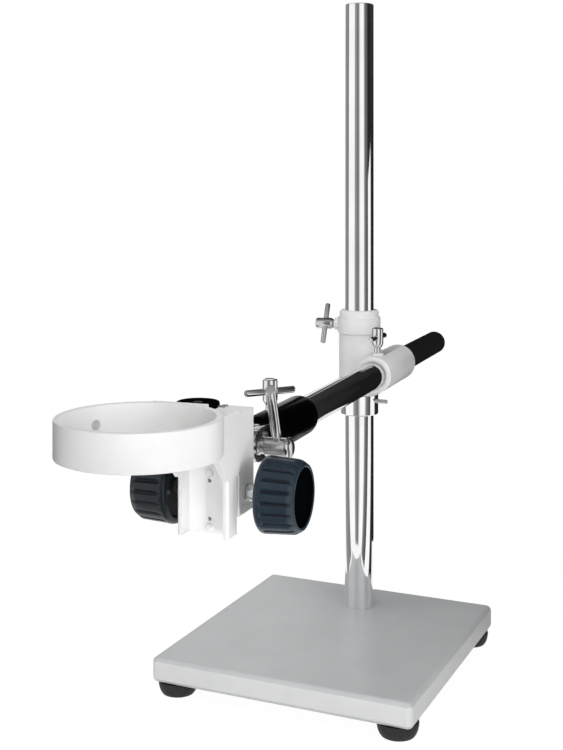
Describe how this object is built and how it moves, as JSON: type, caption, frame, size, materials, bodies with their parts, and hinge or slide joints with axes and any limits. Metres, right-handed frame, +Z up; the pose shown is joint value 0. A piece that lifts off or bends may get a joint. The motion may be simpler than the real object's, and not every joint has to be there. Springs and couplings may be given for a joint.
{
  "type": "articulated arm stand",
  "caption": "Weighted bench stand with a column, a sliding cross clamp and boom, and a tilting rack-and-pinion focus arm that ends in a round ring for an optical head.",
  "frame": {"origin": "the column's axis at bench level, where the feet stand", "axes": "+Z up along the column; the base plate's sides run along X and Y; the boom reaches towards -Y, turned about 4 degrees about the column towards +X"},
  "size_m": [0.2109, 0.6843, 0.549],
  "materials": {
    "base_enamel": "semi-gloss grey enamel",
    "rubber": "matt black",
    "polished_rod": "polished chrome plate",
    "fasteners": "plain steel",
    "plated_screw": "bright plated steel",
    "collar_chrome": "polished chrome plate",
    "hub_enamel": "off-white enamel on a casting",
    "bush_plastic": "light grey acetal",
    "black_gloss": "gloss black enamel",
    "knuckle_chrome": "satin chrome plate",
    "white_enamel": "white enamel",
    "brass": "plain brass",
    "gear_steel": "cut steel",
    "slide_steel": "ground light alloy",
    "knob_plastic": "satin dark slate",
    "black_plastic": "satin black"
  },
  "bodies": {
    "stand": {"base_plate": "base_enamel", "rubber_feet": "rubber", "foot_screws": "fasteners", "column": "polished_rod", "column_bolt": "fasteners", "column_washer": "fasteners"},
    "collar": {"safety_collar": "collar_chrome"},
    "collar_screw": {"collar_screw": "plated_screw"},
    "cross_hub": {"cross_hub": "hub_enamel", "boom_bush": "bush_plastic"},
    "column_clamp": {"column_clamp_screw": "plated_screw", "column_clamp_tommy_bar": "plated_screw"},
    "boom_clamp": {"boom_clamp_screw": "plated_screw", "boom_clamp_tommy_bar": "plated_screw"},
    "boom": {"boom_rod": "polished_rod"},
    "arm_end": {"arm_sleeve": "black_gloss", "tilt_fork": "knuckle_chrome", "tilt_bolt": "knuckle_chrome", "fork_set_screw": "fasteners"},
    "sleeve_clamp": {"sleeve_clamp_screw": "plated_screw", "sleeve_clamp_tommy_bar": "plated_screw"},
    "tilt_lever": {"clamp_nut": "knuckle_chrome", "clamp_lever": "plated_screw"},
    "focus_block": {"pinion_housing": "white_enamel", "tilt_tongue": "knuckle_chrome", "tongue_screws": "fasteners", "pinion_bush_right": "knuckle_chrome", "pinion_bush_left": "knuckle_chrome", "way_screw": "brass"},
    "pinion": {"pinion_shaft": "gear_steel", "focus_knob_right": "knob_plastic", "focus_knob_left": "knob_plastic", "knob_cap_right": "black_plastic", "knob_cap_left": "black_plastic"},
    "slide_arm": {"slide_arm": "white_enamel", "dovetail_slide": "slide_steel", "rack": "gear_steel", "rack_screws": "fasteners", "rack_dowels": "fasteners", "head_ring": "white_enamel", "ring_screws": "fasteners"},
    "arm_lock": {"arm_lock_knob": "black_plastic", "arm_lock_stud": "fasteners", "arm_lock_pin": "fasteners"},
    "head_clamp": {"head_clamp_screw": "plated_screw", "head_clamp_knob": "black_plastic"}
  },
  "joints": [
    {"name": "collar_height", "type": "slide", "parent": "stand", "child": "collar", "axis": [0, 0, 1], "range_m": [-0.16, 0.25]},
    {"name": "collar_screw_turn", "type": "hinge", "parent": "collar", "child": "collar_screw", "pos_m": [0, 0, 0.2072], "axis": [1, 0, 0], "range_deg": [-360, 360]},
    {"name": "boom_swing", "type": "hinge", "parent": "collar", "child": "cross_hub", "pos_m": [0, 0, 0.2275], "axis": [0, 0, 1], "continuous": true},
    {"name": "column_clamp_turn", "type": "hinge", "parent": "cross_hub", "child": "column_clamp", "pos_m": [-0.03092, -0.00219, 0.27225], "axis": [-0.9975, -0.0708, 0], "range_deg": [-360, 360]},
    {"name": "boom_clamp_turn", "type": "hinge", "parent": "cross_hub", "child": "boom_clamp", "pos_m": [0.03009, -0.03686, 0.2685], "axis": [0, 0, 1], "range_deg": [-360, 360]},
    {"name": "boom_reach", "type": "slide", "parent": "cross_hub", "child": "boom", "axis": [-0.0708, 0.9975, 0], "range_m": [-0.12, 0.17]},
    {"name": "arm_roll", "type": "hinge", "parent": "boom", "child": "arm_end", "pos_m": [0.04857, -0.29731, 0.2375], "axis": [-0.0708, 0.9975, 0], "range_deg": [-90, 90]},
    {"name": "sleeve_clamp_turn", "type": "hinge", "parent": "arm_end", "child": "sleeve_clamp", "pos_m": [0.04788, -0.28763, 0.2635], "axis": [0, 0, 1], "range_deg": [-360, 360]},
    {"name": "head_tilt", "type": "hinge", "parent": "arm_end", "child": "focus_block", "pos_m": [0.05091, -0.33022, 0.2375], "axis": [0.9975, 0.0708, 0], "range_deg": [-40, 40]},
    {"name": "tilt_lever_turn", "type": "hinge", "parent": "arm_end", "child": "tilt_lever", "pos_m": [0.05091, -0.33022, 0.2375], "axis": [0.9975, 0.0708, 0], "range_deg": [-60, 25]},
    {"name": "focus_travel", "type": "slide", "parent": "focus_block", "child": "slide_arm", "axis": [0, 0, 1], "range_m": [-0.034, 0.016]},
    {"name": "focus_drive", "type": "hinge", "parent": "focus_block", "child": "pinion", "pos_m": [0.0536, -0.36813, 0.2196], "axis": [0.9975, 0.0708, 0], "range_deg": [-360, 360]},
    {"name": "arm_lock_turn", "type": "hinge", "parent": "slide_arm", "child": "arm_lock", "pos_m": [0.05579, -0.39905, 0.273], "axis": [0, 0, 1], "range_deg": [-180, 180]},
    {"name": "head_clamp_turn", "type": "hinge", "parent": "slide_arm", "child": "head_clamp", "pos_m": [0.01514, -0.44988, 0.2698], "axis": [-0.914, 0.4058, 0], "range_deg": [-360, 360]}
  ],
  "couplings": [
    {"joint": "focus_drive", "follows": "focus_travel", "rad_per_m": -166.67}
  ]
}
